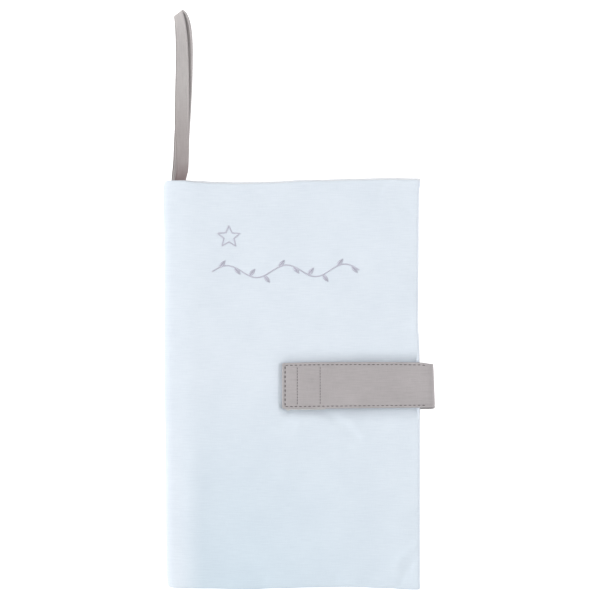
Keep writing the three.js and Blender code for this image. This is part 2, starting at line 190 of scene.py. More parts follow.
WELD_DISTANCE = 1e-4
SHARP_ANGLE = math.radians(50)


def new_object(name, data):
    piece = bpy.data.objects.new(name, data)
    bpy.context.scene.collection.objects.link(piece)
    return piece


def grid_faces(rows, columns):
    index = np.arange(rows * columns).reshape(rows, columns)
    corners = [index[:-1, :-1], index[1:, :-1], index[1:, 1:], index[:-1, 1:]]
    return np.stack([c.ravel() for c in corners], 1)


def rim_faces(rows, columns):
    """Quads that join the borders of two grids of one size, the second stored after the first."""
    index = np.arange(rows * columns).reshape(rows, columns)
    border = np.concatenate([index[:, 0], index[-1, 1:], index[-2::-1, -1], index[0, -2:0:-1]])
    following = np.roll(border, -1)
    second = rows * columns
    return np.stack([following, border, border + second, following + second], 1)


def add_mesh(name, points, faces, uvs, finish):
    """An object from points in millimetres, with smooth shading and its cloth coordinates."""
    mesh = bpy.data.meshes.new(name)
    mesh.from_pydata((points * MM).tolist(), [], faces)
    mesh.materials.append(finish)
    layer = mesh.uv_layers.new(name=UV_NAME)
    corner_points = np.zeros(len(mesh.loops), np.int32)
    mesh.loops.foreach_get("vertex_index", corner_points)
    layer.data.foreach_set("uv", (uvs[corner_points] * MM).astype(np.float32).ravel())
    mesh.shade_smooth()
    mesh.set_sharp_from_angle(angle=SHARP_ANGLE)
    mesh.validate()
    return new_object(name, mesh)


def without_repeats(face):
    kept = [point for i, point in enumerate(face) if point != face[i - 1]]
    return kept if len(set(kept)) > 2 else None


def closed_piece(name, upper, lower, uv, finish):
    """A closed body between two grids of points. Border points that meet are welded.

    uv holds the two cloth coordinates of the grid, U and V."""
    rows, columns = upper.shape[:2]
    size = rows * columns
    points = np.concatenate([upper.reshape(-1, 3), lower.reshape(-1, 3)])
    same = np.linalg.norm(points[:size] - points[size:], axis=1) < WELD_DISTANCE
    target = np.arange(2 * size)
    target[size:][same] = target[:size][same]
    sheet = grid_faces(rows, columns)
    quads = np.concatenate([sheet, sheet[:, ::-1] + size, rim_faces(rows, columns)])
    faces = [f for f in map(without_repeats, target[quads].tolist()) if f]
    used, packed = np.unique(np.concatenate(faces), return_inverse=True)
    ends = np.cumsum([len(f) for f in faces])[:-1]
    faces = [f.tolist() for f in np.split(packed.ravel(), ends)]
    uvs = np.tile(np.stack(uv, -1).reshape(-1, 2), (2, 1))
    return add_mesh(name, points[used], faces, uvs[used], finish)


# Small repeated shapes: stitches, strands, hooks and loops of thread.


THREAD_RINGS = 7
THREAD_SIDES = 6


def tube_faces(rings, sides, first=0):
    """Quads of a tube and the points of each of its rings, numbered from first."""
    index = np.arange(rings * sides).reshape(rings, sides) + first
    after = np.roll(index, -1, axis=1)
    quads = np.stack([index[:-1], after[:-1], after[1:], index[1:]], -1).reshape(-1, 4)
    return quads.tolist(), index.tolist()


def repeated(faces, count, step):
    """The faces of many like pieces of step points each."""
    return [[point + i * step for point in face] for i in range(count) for face in faces]


def thread_shape():
    """A short length of thread along X, from -1 to 1, with rounded ends."""
    rings = -np.cos(np.linspace(0, math.pi, THREAD_RINGS + 2)[1:-1])
    x, angle = grid(rings, np.arange(THREAD_SIDES) * 2 * math.pi / THREAD_SIDES)
    radius = np.sqrt(1 - np.abs(x) ** 3)
    body = np.stack([x, radius * np.cos(angle), radius * np.sin(angle)], -1).reshape(-1, 3)
    around = np.stack([x, angle / 2 / math.pi], -1).reshape(-1, 2)
    faces, (first, *_, last) = tube_faces(THREAD_RINGS, THREAD_SIDES, 1)
    for side in range(THREAD_SIDES):
        after = (side + 1) % THREAD_SIDES
        faces.append([0, first[after], first[side]])
        faces.append([len(body) + 1, last[side], last[after]])
    return np.vstack([(-1, 0, 0), body, (1, 0, 0)]), faces, np.vstack([(-1, 0), around, (1, 0)])


def threads(name, places, along, up, size, finish):
    """Many short threads as one mesh. along and up are directions, size is (length, width, height)."""
    shape, faces, shape_uvs = thread_shape()
    along = unit(along)
    across = unit(np.cross(up, along))
    axes = np.stack([along, across, np.cross(along, across)], 1)
    points = places[:, None] + np.einsum("pk,k,nkc->npc", shape, np.array(size) / 2, axes)
    uvs = np.tile(shape_uvs, (len(places), 1))
    return add_mesh(name, points.reshape(-1, 3), repeated(faces, len(places), len(shape)), uvs, finish)


def tubes(name, lines, radius, finish, sides=5):
    """Round strands along many lines of points, all with the same number of points."""
    count, stations = lines.shape[:2]
    along = unit(np.gradient(lines, axis=1))
    helper = np.where(np.abs(along[..., 2:]) > 0.9, [1.0, 0, 0], [0, 0, 1.0])
    across = unit(np.cross(helper, along))
    up = np.cross(along, across)
    angles = np.arange(sides) * 2 * math.pi / sides
    ring = across[..., None, :] * np.cos(angles)[:, None] + up[..., None, :] * np.sin(angles)[:, None]
    points = (lines[..., None, :] + ring * radius).reshape(-1, 3)
    faces, rings = tube_faces(stations, sides)
    faces = repeated([*faces, rings[0][::-1], rings[-1]], count, stations * sides)
    lengths = np.linspace(0, 1, stations)
    uv = np.stack(grid(lengths, angles / 2 / math.pi), -1).reshape(-1, 2)
    return add_mesh(name, points, faces, np.tile(uv, (count, 1)), finish)


def fix(piece, body, slot, *nodes):
    """The piece moves with one body. nodes are what it stands for in the frame."""
    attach(piece, body)
    if nodes:
        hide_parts(*nodes)


# Node materials.


WHITE = (1, 1, 1, 1)


def linear(red, green, blue):
    """A colour written as 0 to 255 on screen, as the linear colour that a shader takes."""
    share = np.array([red, green, blue]) / 255
    values = np.where(share <= 0.04045, share / 12.92, ((share + 0.055) / 1.055) ** 2.4)
    return (*values.tolist(), 1.0)


class Nodes:
    """Adds nodes to a material or a world. Inputs are numbers, vectors or other nodes' outputs."""

    def __init__(self, owner, shader="Principled BSDF"):
        owner.use_nodes = True
        self.owner = owner
        self.tree = owner.node_tree
        self.shader = self.tree.nodes[shader]

    def fill(self, node, inputs):
        for key, value in dict(inputs).items():
            if isinstance(value, bpy.types.NodeSocket):
                self.tree.links.new(value, node.inputs[key])
            else:
                node.inputs[key].default_value = value

    def add(self, kind, inputs=(), output=0, **settings):
        node = self.tree.nodes.new(kind)
        for key, value in settings.items():
            setattr(node, key, value)
        self.fill(node, inputs)
        return node.outputs[output]

    def math(self, operation, *values):
        return self.add("ShaderNodeMath", enumerate(values), operation=operation)

    def parts(self, vector):
        return self.add("ShaderNodeSeparateXYZ", {0: vector}).node.outputs

    def stretched(self, vector, scale):
        return self.add("ShaderNodeVectorMath", {0: vector, 1: scale}, operation="MULTIPLY")

    def noise(self, vector, scale, detail):
        """Noise of 0 to 1 at so many cells a metre in each direction."""
        inputs = {"Vector": self.stretched(vector, scale), "Scale": 1.0, "Detail": detail}
        return self.add("ShaderNodeTexNoise", inputs)

    def plain_weave(self, place, pitch):
        """Height of a plain weave, 0 to 1, of threads pitch millimetres apart."""
        turned = self.stretched(place, (math.pi / (pitch * MM), math.pi / (pitch * MM), 0))
        warp, weft = (self.math("SINE", part) for part in self.parts(turned)[:2])
        over = self.math("GREATER_THAN", self.math("MULTIPLY", warp, weft), 0.0)
        ridges = [self.math("ABSOLUTE", wave) for wave in (warp, weft)]
        swells = [self.math("MULTIPLY_ADD", ridge, 0.45, 0.55) for ridge in ridges]
        on_top = self.math("MULTIPLY", ridges[0], swells[1])
        below = self.math("MULTIPLY", ridges[1], swells[0])
        return self.add("ShaderNodeMix", {0: over, 2: below, 3: on_top})

    def ramp(self, value, start, end, low=0.0, high=1.0):
        """From low where the value is start to high where it is end."""
        return self.add("ShaderNodeMapRange", {0: value, 1: start, 2: end, 3: low, 4: high})

    def tinted(self, colour, share, shade, blend="MIX"):
        """The colour, moved towards shade (or multiplied by it) by a share that varies."""
        inputs = {0: share, 6: colour, 7: shade}
        return self.add("ShaderNodeMix", inputs, output=2, data_type="RGBA", blend_type=blend)

    def finish(self, colour, height, depth, roughness, sheen):
        settings = {
            "Base Color": colour,
            "Normal": self.add("ShaderNodeBump", {"Height": height, "Distance": depth * MM}),
            "Roughness": roughness,
            "Sheen Weight": sheen,
            "Sheen Roughness": 0.4,
            "Sheen Tint": WHITE,
            "Specular IOR Level": 0.25,
        }
        self.fill(self.shader, settings)
        return self.owner


def material_nodes(name):
    """The nodes of a new material and the place on the cloth."""
    nodes = Nodes(bpy.data.materials.new(name))
    return nodes, nodes.add("ShaderNodeUVMap", uv_map=UV_NAME)


def low_corner_shade_share(nodes, place):
    """Share of painted shade over a panel: grows towards the lower end of its fold, standing in for the
    light falling off there.
    """
    across, along, _ = nodes.parts(place)
    low = nodes.ramp(along, 0.01, -0.2)
    left = nodes.math("MULTIPLY", nodes.ramp(across, 0.25, 0.08, 0.35), nodes.ramp(across, 0.01, 0.035))
    return nodes.math("MULTIPLY", low, left)


def seam_shade_share(nodes, place):
    """Share of painted shade along the carry loop: grows towards its sewn end, most of all just outside the
    seam, where the pad shades the band.
    """
    along = nodes.parts(place)[0]
    wide = nodes.ramp(along, 0.1, 0.0, 0.0, 0.6)
    return nodes.math("ADD", wide, nodes.ramp(along, 0.022, 0.0, 0.0, 0.4))


def woven(name, colour, shade, pitch, weave_share, slub_share, depth, roughness, sheen, painted_shade=None):
    """Plain-woven cloth with uneven threads along the U direction and slight mottling. A painted shade, if
    given, darkens it where its share grows.
    """
    nodes, place = material_nodes(name)
    weave = nodes.plain_weave(place, pitch)
    slubs = nodes.noise(place, (70, 900, 1), 4.0)
    cross_slubs = nodes.noise(place, (1500, 120, 1), 2.0)
    mottle = nodes.noise(place, (28, 28, 1), 3.0)
    # The weave's low places are mixed towards the shade colour: painted shade between the threads. The
    # slubs and mottling below are the cloth's own uneven tone.
    share = nodes.math("MULTIPLY_ADD", weave, -weave_share, weave_share)
    for pattern, part in ((slubs, 1), (cross_slubs, 0.5), (mottle, 0.7)):
        share = nodes.math("MULTIPLY_ADD", pattern, slub_share * part, share)
    height = nodes.math("MULTIPLY_ADD", slubs, 0.8, weave)
    tone = nodes.tinted(colour, share, shade)
    # Painted shade: the colour is multiplied by a darker tone by the given share.
    if painted_shade:
        towards, shade_tone = painted_shade
        tone = nodes.tinted(tone, towards(nodes, place), shade_tone, "MULTIPLY")
    return nodes.finish(tone, height, depth, roughness, sheen)


def twisted_thread(name, colour, shade, turns):
    """Sewing thread: the plies show as slanting ridges along its length."""
    nodes, place = material_nodes(name)
    along, around, _ = nodes.parts(place)
    slant = nodes.math("MULTIPLY", around, 2 * math.pi / MM)
    phase = nodes.math("MULTIPLY_ADD", along, turns * 2 * math.pi / MM, slant)
    ply = nodes.math("MULTIPLY_ADD", nodes.math("SINE", phase), 0.5, 0.5)
    share = nodes.math("MULTIPLY", ply, 0.6)
    return nodes.finish(nodes.tinted(colour, share, shade), ply, 0.05, 0.55, 0.2)


def fibrous(name, colour, shade, scale, depth, roughness):
    """Matted fibres: fine noise in two directions."""
    nodes, place = material_nodes(name)
    one = nodes.noise(place, (scale, scale * 0.2, 1), 4.0)
    other = nodes.noise(place, (scale * 0.25, scale, 1), 4.0)
    height = nodes.math("MULTIPLY", one, other)
    return nodes.finish(nodes.tinted(colour, height, shade), height, depth, roughness, 0.3)


PAD_COTTON = woven(
    "pale_blue_cotton", linear(239, 246, 253), linear(214, 223, 233),
    pitch=0.5, weave_share=0.16, slub_share=0.5, depth=0.04, roughness=0.9, sheen=0.08,
    # Painted shade: the cover is darker towards the lower end of its fold.
    painted_shade=(low_corner_shade_share, (0.86, 0.92, 0.94, 1)),
)
LINING_COTTON = woven(
    "white_lining_cotton", linear(243, 245, 248), linear(214, 219, 226),
    pitch=0.4, weave_share=0.14, slub_share=0.1, depth=0.1, roughness=0.9, sheen=0.08,
)
CANVAS = dict(pitch=0.7, weave_share=0.26, slub_share=0.5, depth=0.1, roughness=0.85, sheen=0.12)
STRAP_COTTON = woven("grey_canvas", linear(206, 201, 202), linear(163, 158, 159), **CANVAS)
LOOP_COTTON = woven(
    "grey_webbing", linear(214, 210, 209), linear(174, 169, 168), **CANVAS,
    # Painted shade: the webbing is darker towards the seam that holds it.
    painted_shade=(seam_shade_share, (0.46, 0.37, 0.37, 1)),
)
WADDING = fibrous("white_wadding", linear(246, 246, 244), linear(214, 214, 210), 900, 0.5, 1.0)
HOOK_TAPE = fibrous("grey_hook_tape", linear(186, 183, 184), linear(150, 147, 149), 1500, 0.1, 0.5)
LOOP_TAPE = fibrous("grey_loop_tape", linear(194, 191, 192), linear(150, 147, 149), 1500, 0.2, 0.9)
THREAD = twisted_thread("dark_grey_thread", linear(104, 98, 101), linear(70, 65, 68), 1.5)
EMBROIDERY_THREAD = twisted_thread(
    "lavender_grey_thread", linear(212, 212, 224), linear(190, 190, 204), 1.0
)


# The camera looks straight down, as in the photograph.


CAMERA_PLACE = (0.00705, 0.0834, 1.6673)


def add_camera():
    data = bpy.data.cameras.new("camera")
    data.lens = 100
    data.sensor_width = 36
    camera = new_object("camera", data)
    camera.location = CAMERA_PLACE
    bpy.context.scene.camera = camera


add_camera()


# The panels.

# How far the seams lie off a straight rectangle: (place along the edge, millimetres).
TOP_EDGE = [
    (-125, 0), (-108, 0.2), (-92, -1.2), (-75, -2), (-52, -2.5), (-17, -1.7), (12, 0), (31, 0.2), (60, 1),
    (96, 1.75), (123, 1.3),
]
BOTTOM_EDGE = [
    (-116, -0.7), (-82, -0.85), (-46, -1.75), (-17, -0.7), (19, 0.2), (55, 0.8), (90, -0.4), (118, -2),
]
RIGHT_EDGE = [
    (-201, 1.2), (-192, 0.6), (-36, 0.6), (34, 0.1), (62, -1.3), (90, -0.95), (150, -0.7), (188, -0.25),
    (199, 1),
]
LEFT_EDGE = [
    (-196, -0.3), (-175, -1), (-135, -1.4), (-95, -1.5), (-56, -2.1), (0, -2.9), (90, -3), (143, -3.2),
    (188, -4.2),
]
# How much farther each half's seams lie from the middle: (right, top, bottom).
SEAM_SHIFTS = {1: (0, -1.0, 0), -1: (1.3, 1.4, -0.8)}


def flat_x(u):
    """Place across the panel of a point u along the middle line, counted from the fold."""
    return u + RIGHT_X - RIGHT_U


def rise(distance):
    inwards = 1 - np.clip(distance / SEAM_TAPER, 0, 1)
    return (1 - inwards**SEAM_ROUNDNESS) ** (1 / SEAM_ROUNDNESS)


def seam_product(profile, u, y):
    return profile((RIGHT_U - u) * RIGHT_STEEPNESS) * profile(TOP_Y - y) * profile(y - BOTTOM_Y)


def dent_share(x, y, end_x):
    """1 under the strap, then less: the cloth falls most steeply right beside it."""
    beyond_end = np.maximum(0, end_x + 1 - x) / DENT_END_SLOPE
    beyond_side = np.maximum(0, np.abs(y - STRAP_CENTRE_Y) - STRAP_HALF_WIDTH) / DENT_SIDE_SLOPE
    return np.clip(1 - np.hypot(beyond_end, beyond_side), 0, 1) ** 2


def strap_grooves(x, y):
    """The cloth lies deepest along the strap's two long edges."""
    under = smooth((x + 12) / 8) * smooth((RIGHT_X - x) / 2.5)
    above = (1.2 + 2.1 * smooth((x - 10) / 90)) * bump_at(y, 22.5, 7)
    depth = 3.9 - 1.3 * smooth((x - 25) / 20) + 1.6 * bump_at(x, 56, 40)
    below = depth * bump_at(y, -24.3, 5.4 + 3.6 * smooth((x - 26) / 16))
    return under * (above + below)


def strap_dip(x):
    """How far the strap lies below its flat height: between the tapes and its turn, and at its end."""
    return 1.7 * smooth((x - 50) / 50) * smooth((134 - x) / 22) + 0.9 * smooth((2 - x) / 12)


# Soft forms of the front panel: (x, y, half width, half length, height).
SWELLS = [
    (-98, 20, 13, 170, 0.3), (-97, -120, 13, 80, 0.8), (-78, -140, 18, 40, -0.5), (-74, -68, 15, 36, 0.2),
    (-68, -186, 28, 12, -0.5), (30, 90, 60, 45, 0.35), (60, -120, 45, 50, 0.3), (112, 188, 14, 14, -0.4),
]

CREASE_DEPTH = 1.6
# Creases of the front panel: x and y of both ends, half width and share of the depth.
CREASES = [
    (32, -28, 64, -54, 4.5, -0.55), (40, -26, 70, -50, 3.5, 0.4), (47, -60, 86, -84, 5, -0.25),
    (98, 177, 124, 167, 3, -0.35), (93, 183, 112, 179, 2.5, -0.2), (104, 168, 124, 158, 3, 0.2),
    (80, 62, 119, 56, 3.5, -0.25), (86, 55, 121, 49, 3.5, 0.2), (100, -181, 124, -156, 4.5, 0.7),
    (106, -198, 118, -176, 3, -0.6), (112, -200, 118, -184, 2.2, -0.3), (74, -56, 118, -62, 4, -0.3),
    (-2, -26, -12, -42, 3.5, -0.35), (8, -26, 4, -46, 3.5, 0.35), (-14, 22, -30, 32, 4, -0.2),
    (90, 202, 84, 184, 3, -0.3), (-40, 202, -36, 188, 4, -0.25), (20, 202, 17, 190, 3.5, -0.25),
    (124, 118, 106, 112, 3.5, -0.25), (124, 92, 108, 96, 3, 0.2), (124, -96, 104, -90, 4, -0.3),
    (124, -128, 106, -134, 3.5, -0.3), (-30, -202, -26, -186, 4, -0.3), (40, -202, 44, -188, 3.5, -0.3),
]


def swell(x, y, middle_x, middle_y, half_width, half_length, height):
    return height * bump_at(x, middle_x, half_width) * bump_at(y, middle_y, half_length)


def crease(x, y, start_x, start_y, end_x, end_y, half_width, share_of_depth):
    way_x, way_y = end_x - start_x, end_y - start_y
    length = math.hypot(way_x, way_y)
    share = ((x - start_x) * way_x + (y - start_y) * way_y) / length**2
    aside = ((y - start_y) * way_x - (x - start_x) * way_y) / length
    bow = aside - 0.05 * length * np.sin(np.clip(share, 0, 1) * math.pi)
    ends = smooth((share + 0.25) / 0.4) * smooth((1.25 - share) / 0.4)
    return CREASE_DEPTH * share_of_depth * bump_at(bow, 0, half_width) * ends


def hand_folds(x, y):
    return sum(swell(x, y, *row) for row in SWELLS) + sum(crease(x, y, *row) for row in CREASES)


# The front cloth is simulated: a little too large for its seams, it buckles on its padding.
RELIEF_STEP = 4
RELIEF_X = np.arange(-116, 125, RELIEF_STEP)
RELIEF_Y = np.arange(-200, 201, RELIEF_STEP)
RELIEF_SCALE = 10
RELIEF_HOLD = 0.02
RELIEF_FRAMES = 20
RELIEF_LIMIT = 1.6


def held_places(x, y):
    """How firmly the cloth is held: by its seams, by the strap and loosely by its padding."""
    inset = border_distances(x, y).min(0)
    strap = (np.abs(y - STRAP_CENTRE_Y) < STRAP_HALF_WIDTH) & (x > STRAP_END_X)
    return np.where((inset < 1) | strap, 1.0, RELIEF_HOLD), inset


def weight_group(piece, name, values):
    group = piece.vertex_groups.new(name=name)
    for i, value in enumerate(values.ravel().tolist()):
        group.add([i], value, "REPLACE")
    return name


def simulated_relief():
    """Heights in millimetres on the relief grid."""
    x, y = grid(RELIEF_X, RELIEF_Y)
    scale = MM * RELIEF_SCALE
    start = 0.3 * waves(x, y, 4, 60, 22) + 0.03 * waves(x, y, 6, 14, 9)
    mesh = bpy.data.meshes.new("relief")
    points = np.stack([x, y, start], -1).reshape(-1, 3) * scale
    mesh.from_pydata(points.tolist(), [], grid_faces(*x.shape).tolist())
    cloth = new_object("relief", mesh)
    held, inset = held_places(x, y)
    modifier = cloth.modifiers.new("cloth", "CLOTH")
    settings = modifier.settings
    settings.vertex_group_mass = weight_group(cloth, "held", held)
    settings.vertex_group_shrink = weight_group(cloth, "spare", np.clip(1 - inset / 60, 0, 1))
    settings.shrink_min, settings.shrink_max = -0.004, -0.02
    settings.bending_stiffness = 20
    settings.quality = 5
    settings.effector_weights.gravity = 0
    modifier.collision_settings.use_collision = False
    for number in range(1, RELIEF_FRAMES + 1):
        bpy.context.scene.frame_set(number)
    modified = cloth.evaluated_get(bpy.context.evaluated_depsgraph_get()).to_mesh()
    relief = np.reshape([point.co.z for point in modified.vertices], x.shape) / scale
    bpy.data.objects.remove(cloth)
    bpy.context.scene.frame_set(1)
    return np.clip(softened(relief - relief.mean()), -RELIEF_LIMIT, RELIEF_LIMIT)


def softened(heights):
    """Rounds off the grid, twice each way. Every pass takes one way and turns the grid."""
    for _ in range(4):
        padded = np.pad(heights, ((1, 1), (0, 0)), "edge")
        heights = ((padded[:-2] + 2 * heights + padded[2:]) / 4).T
    return heights


RELIEF = simulated_relief()


def cubic_taps(at, lines):
    """Four neighbouring grid lines of each place and their weights."""
    place = np.clip((at - lines[0]) / RELIEF_STEP, 0, len(lines) - 1.001)
    base = np.floor(place).astype(int)
    index = [np.clip(base + k, 0, len(lines) - 1) for k in (-1, 0, 1, 2)]
    return list(zip(index, spline_weights(place - base)))


def relief_at(x, y):
    rows, columns = cubic_taps(x, RELIEF_X), cubic_taps(y, RELIEF_Y)
    return sum(RELIEF[i, k] * row * column for i, row in rows for k, column in columns)


def unevenness(x, y, kind):
    """The soft relief of one of the four cloths, by its number. Each has the pattern its own way."""
    off_fold = smooth((x - FOLD_CENTRE_X - 2) / 12)
    if kind == 0:
        inset = np.minimum(RIGHT_X - x, TOP_Y - np.abs(y))
        share = 0.1 + 0.25 * (1 - smooth(inset / 40))
        return (hand_folds(x, y) + share * relief_at(x, y)) * off_fold
    turned_x = 6 - x if kind > 1 else x
    turned_y = -y if kind < 3 else y
    return (0.3 * relief_at(turned_x, turned_y) + 0.25 * waves(x, y, 11 + kind, 150, 60)) * off_fold


def cover_height(u, y, half):
    """Height of the cover's face over its panel's middle line. half is 1 in front, -1 behind."""
    x = flat_x(u)
    free = FULL_HALF + unevenness(x, y, 0 if half > 0 else 1)
    if half > 0:
        free = free + FRONT_CROWN * (1 - (x / RIGHT_X) ** 2) * (1 - (y / TOP_Y) ** 2)
        low = SEAT_HALF - 0.9 * smooth((x - 52) / 20) + 1.1 * smooth((-1 - x) / 6)
        free = mix(free, np.minimum(free, low), dent_share(x, y, STRAP_END_X)) - strap_grooves(x, y)
    else:
        free = mix(free, np.minimum(free, RECESS_HALF), dent_share(x, y, STRAP_REAR_X))
    return mix(SEAM_HALF, free, seam_product(rise, u, y))


def lining_height(u, y, half):
    """The same for the lining's face, on the other side of the middle line."""
    free = -FULL_HALF + VOID_HEIGHT * smooth(1 - u / VOID_REACH)
    free = free + 0.5 * np.abs(unevenness(flat_x(u), y, 2 if half > 0 else 3))
    return mix(-SEAM_HALF, free, seam_product(rise, u, y))


def rounded_corner(x, y):
    """Rounds the two right-hand corners in plan."""
    radius = RIGHT_CORNER_RADIUS
    across = np.clip((x - RIGHT_X + radius) / radius, 0, 1)
    along = np.clip((np.abs(y) - TOP_Y + radius) / radius, 0, 1)
    new_y = y - np.sign(y) * radius * corner_pull(along, across)
    return x - radius * corner_pull(across, along), new_y


def warped(x, y, half):
    """Moves the outline's seams a little, as in the photograph, and the inside with them."""
    share_x = np.clip((x - FOLD_X) / PAD_WIDTH, 0, 1)
    share_y = np.clip((y - BOTTOM_Y) / PAD_LENGTH, 0, 1)
    end = 1 - np.clip(np.minimum(TOP_Y - y, y - BOTTOM_Y) / FOLD_END_REACH, 0, 1)
    pull = FOLD_END_PULL * (1 - np.sqrt(1 - end**2)) * smooth(1 - share_x * 8)
    off_fold = smooth(share_x * 6)
    right_shift, top_shift, bottom_shift = SEAM_SHIFTS[half]
    left = along_knots(LEFT_EDGE, y) * (1 - share_x) ** 3
    right = along_knots(RIGHT_EDGE, y) + right_shift
    top = along_knots(TOP_EDGE, x) + top_shift * off_fold
    bottom = along_knots(BOTTOM_EDGE, x) + bottom_shift * off_fold
    new_x = x + left + pull + right * share_x**3
    return new_x, y + top * share_y**3 + bottom * (1 - share_y) ** 3


def squeezed(x):
    """The share of its full thickness that the folded pad has near the fold."""
    return 1 - SQUEEZE * np.clip((SQUEEZE_START - x) / SQUEEZE_REACH, 0, 1.4) ** 2


def panel_points(u, y, height, half):
    """Points at a height over the middle line of a panel, folded round into the other one."""
    angle = np.minimum(u, FOLD_ARC) / FOLD_RADIUS
    out = FOLD_RADIUS + height
    on_arc = u < FOLD_ARC
    x = np.where(on_arc, FOLD_CENTRE_X - out * np.cos(angle), flat_x(u))
    z = MIDDLE_Z + half * np.where(on_arc, out * np.sin(angle), out) * squeezed(x)
    x, y = rounded_corner(x, y)
    x, y = warped(x, y, half)
    return np.stack(np.broadcast_arrays(x, y, z), -1)


SEAM_OUT = np.array([0, 0.094, 0.35, 0.7, 1.3, 2.2, 3.4, 5, 7])
SEAM_TURN = np.array([0, 0.5, 0.866, 1, 1, 1, 1, 1, 1])
SEAM_RUN = 2.2
SEAM_IN = np.where(SEAM_OUT < SEAM_RUN, mix(SEAM_ALLOWANCE, SEAM_RUN, SEAM_OUT / SEAM_RUN), SEAM_OUT)
CLOTH_STEP = 2.4


def evenly(start, end, step):
    return np.linspace(start, end, max(2, round((end - start) / step) + 1))[1:-1]


def edged_lines(start, end, edge, step):
    """Grid lines from start to end: an edge's own lines at both ends and even ones between them."""
    inside = evenly(start + edge[-1], end - edge[-1], step)
    return np.concatenate([start + edge, inside, (end - edge)[::-1]])


FOLD_SIDE_LINES = FOLD_ARC + np.array([0.7, 1.6, 2.8, 4.4, 6.4])


def panel_grid(edge):
    """Grid of a cloth, from the fold to the right seam and from the bottom seam to the top seam."""
    panel = evenly(FOLD_SIDE_LINES[-1], RIGHT_U - edge[-1], CLOTH_STEP)
    fold = np.linspace(0, FOLD_ARC, 15)
    u_lines = np.concatenate([fold, FOLD_SIDE_LINES, panel, (RIGHT_U - edge)[::-1]])
    return grid(u_lines, edged_lines(BOTTOM_Y, TOP_Y, edge, CLOTH_STEP))


def near_seam(distance):
    return smooth((distance - SEAM_ALLOWANCE) / 6)


def panel_cloth(name, height_of, cloth, half, finish):
    """One cloth of one panel, from the fold's middle to the seams, where it is turned in."""
    side = 1 if cloth > 0 else -1
    u, y = panel_grid(SEAM_IN)
    back = mix(side * GROOVE_HALF, height_of(u, y, half) - cloth, seam_product(near_seam, u, y))
    lower = panel_points(u, y, back, half)
    u, y = panel_grid(SEAM_OUT)
    turn = np.interp(np.minimum.reduce([RIGHT_U - u, TOP_Y - y, y - BOTTOM_Y]), SEAM_OUT, SEAM_TURN)
    face = mix(side * GROOVE_HALF, height_of(u, y, half), turn)
    faces = [panel_points(u, y, face, half), lower]
    return closed_piece(name, *faces[:: half * side], (u, y), finish)


def blend_at_fold(piece, half):
    if half < 0:
        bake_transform(piece)
    else:
        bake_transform(piece)


HALVES = (("front", 1), ("back", -1))
# One half cut flat: from the middle of the fold to the right seam, and from seam to seam.
# Both layers of cloth: name, height, thickness, finish and slot.
LAYERS = [
    ("cover", cover_height, COVER_CLOTH, PAD_COTTON, "pad_cotton"),
    ("lining", lining_height, -LINING_CLOTH, LINING_COTTON, "lining_cotton"),
]


def add_panel_cloths():
    """The cover and the lining, each in two halves that meet at the fold's middle."""
    for layer, height_of, cloth, finish, slot in LAYERS:
        for side, half in HALVES:
            piece = panel_cloth(f"{side}_{layer}_cloth", height_of, cloth, half, finish)
            blend_at_fold(piece, half)
            nodes = [f"{side}_{layer}"]
            if side == "front":
                nodes.append(f"spine_{layer}")
            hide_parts(*nodes)


WADDING_CLEARANCE = 0.25
WADDING_START = 11
WADDING_INSET = 4
WADDING_EDGE = np.array([0, 0.2, 0.6, 1.2, 2, 3])
WADDING_ROUND = WADDING_EDGE[-1]
WADDING_STEP = 6
SPINE_ROLL_X = -122.85
SPINE_ROLL_HALF_X = 1.15
SPINE_ROLL_HALF_Z = 2.6
SPINE_ROLL_END_Y = 187
SPINE_ROLL_STEP = 8


def add_wadding(name, faces, uv, body, node):
    piece = closed_piece(name, *faces, uv, WADDING)
    fix(piece, body, "wadding", node)


def add_panel_wadding(side, half):
    low, high = BOTTOM_Y + WADDING_INSET, TOP_Y - WADDING_INSET
    u_lines = edged_lines(WADDING_START, RIGHT_U - WADDING_INSET, WADDING_EDGE, WADDING_STEP)
    u, y = grid(u_lines, edged_lines(low, high, WADDING_EDGE, WADDING_STEP))
    full = np.prod(quarter_round(border_distances(u, y), WADDING_ROUND), axis=0)
    outer = cover_height(u, y, half) - COVER_CLOTH - WADDING_CLEARANCE
    inner = lining_height(u, y, half) + LINING_CLOTH + WADDING_CLEARANCE
    levels = [mix((outer + inner) / 2, level, full) for level in (outer, inner)]
    faces = [panel_points(u, y, level, half) for level in levels]
    add_wadding(f"{side}_wadding_pad", faces[::half], (u, y), f"{side}_panel", f"{side}_wadding")


def add_spine_wadding():
    """A soft roll inside the fold."""
    ys = edged_lines(-SPINE_ROLL_END_Y, SPINE_ROLL_END_Y, WADDING_EDGE, SPINE_ROLL_STEP)
    y, angle = grid(ys, np.linspace(0, math.pi, 9))
    full = quarter_round(SPINE_ROLL_END_Y - np.abs(y), WADDING_ROUND)
    x = SPINE_ROLL_X - SPINE_ROLL_HALF_X * full * np.cos(angle)
    height = SPINE_ROLL_HALF_Z * full * np.sin(angle) * squeezed(x)
    faces = [np.stack([x, y, MIDDLE_Z + side * height], -1) for side in (1, -1)]
    add_wadding("spine_wadding_roll", faces, (y, angle * 2), "spine", "spine_wadding")


add_panel_cloths()
for side, half in HALVES:
    add_panel_wadding(side, half)
add_spine_wadding()


# The closing strap.

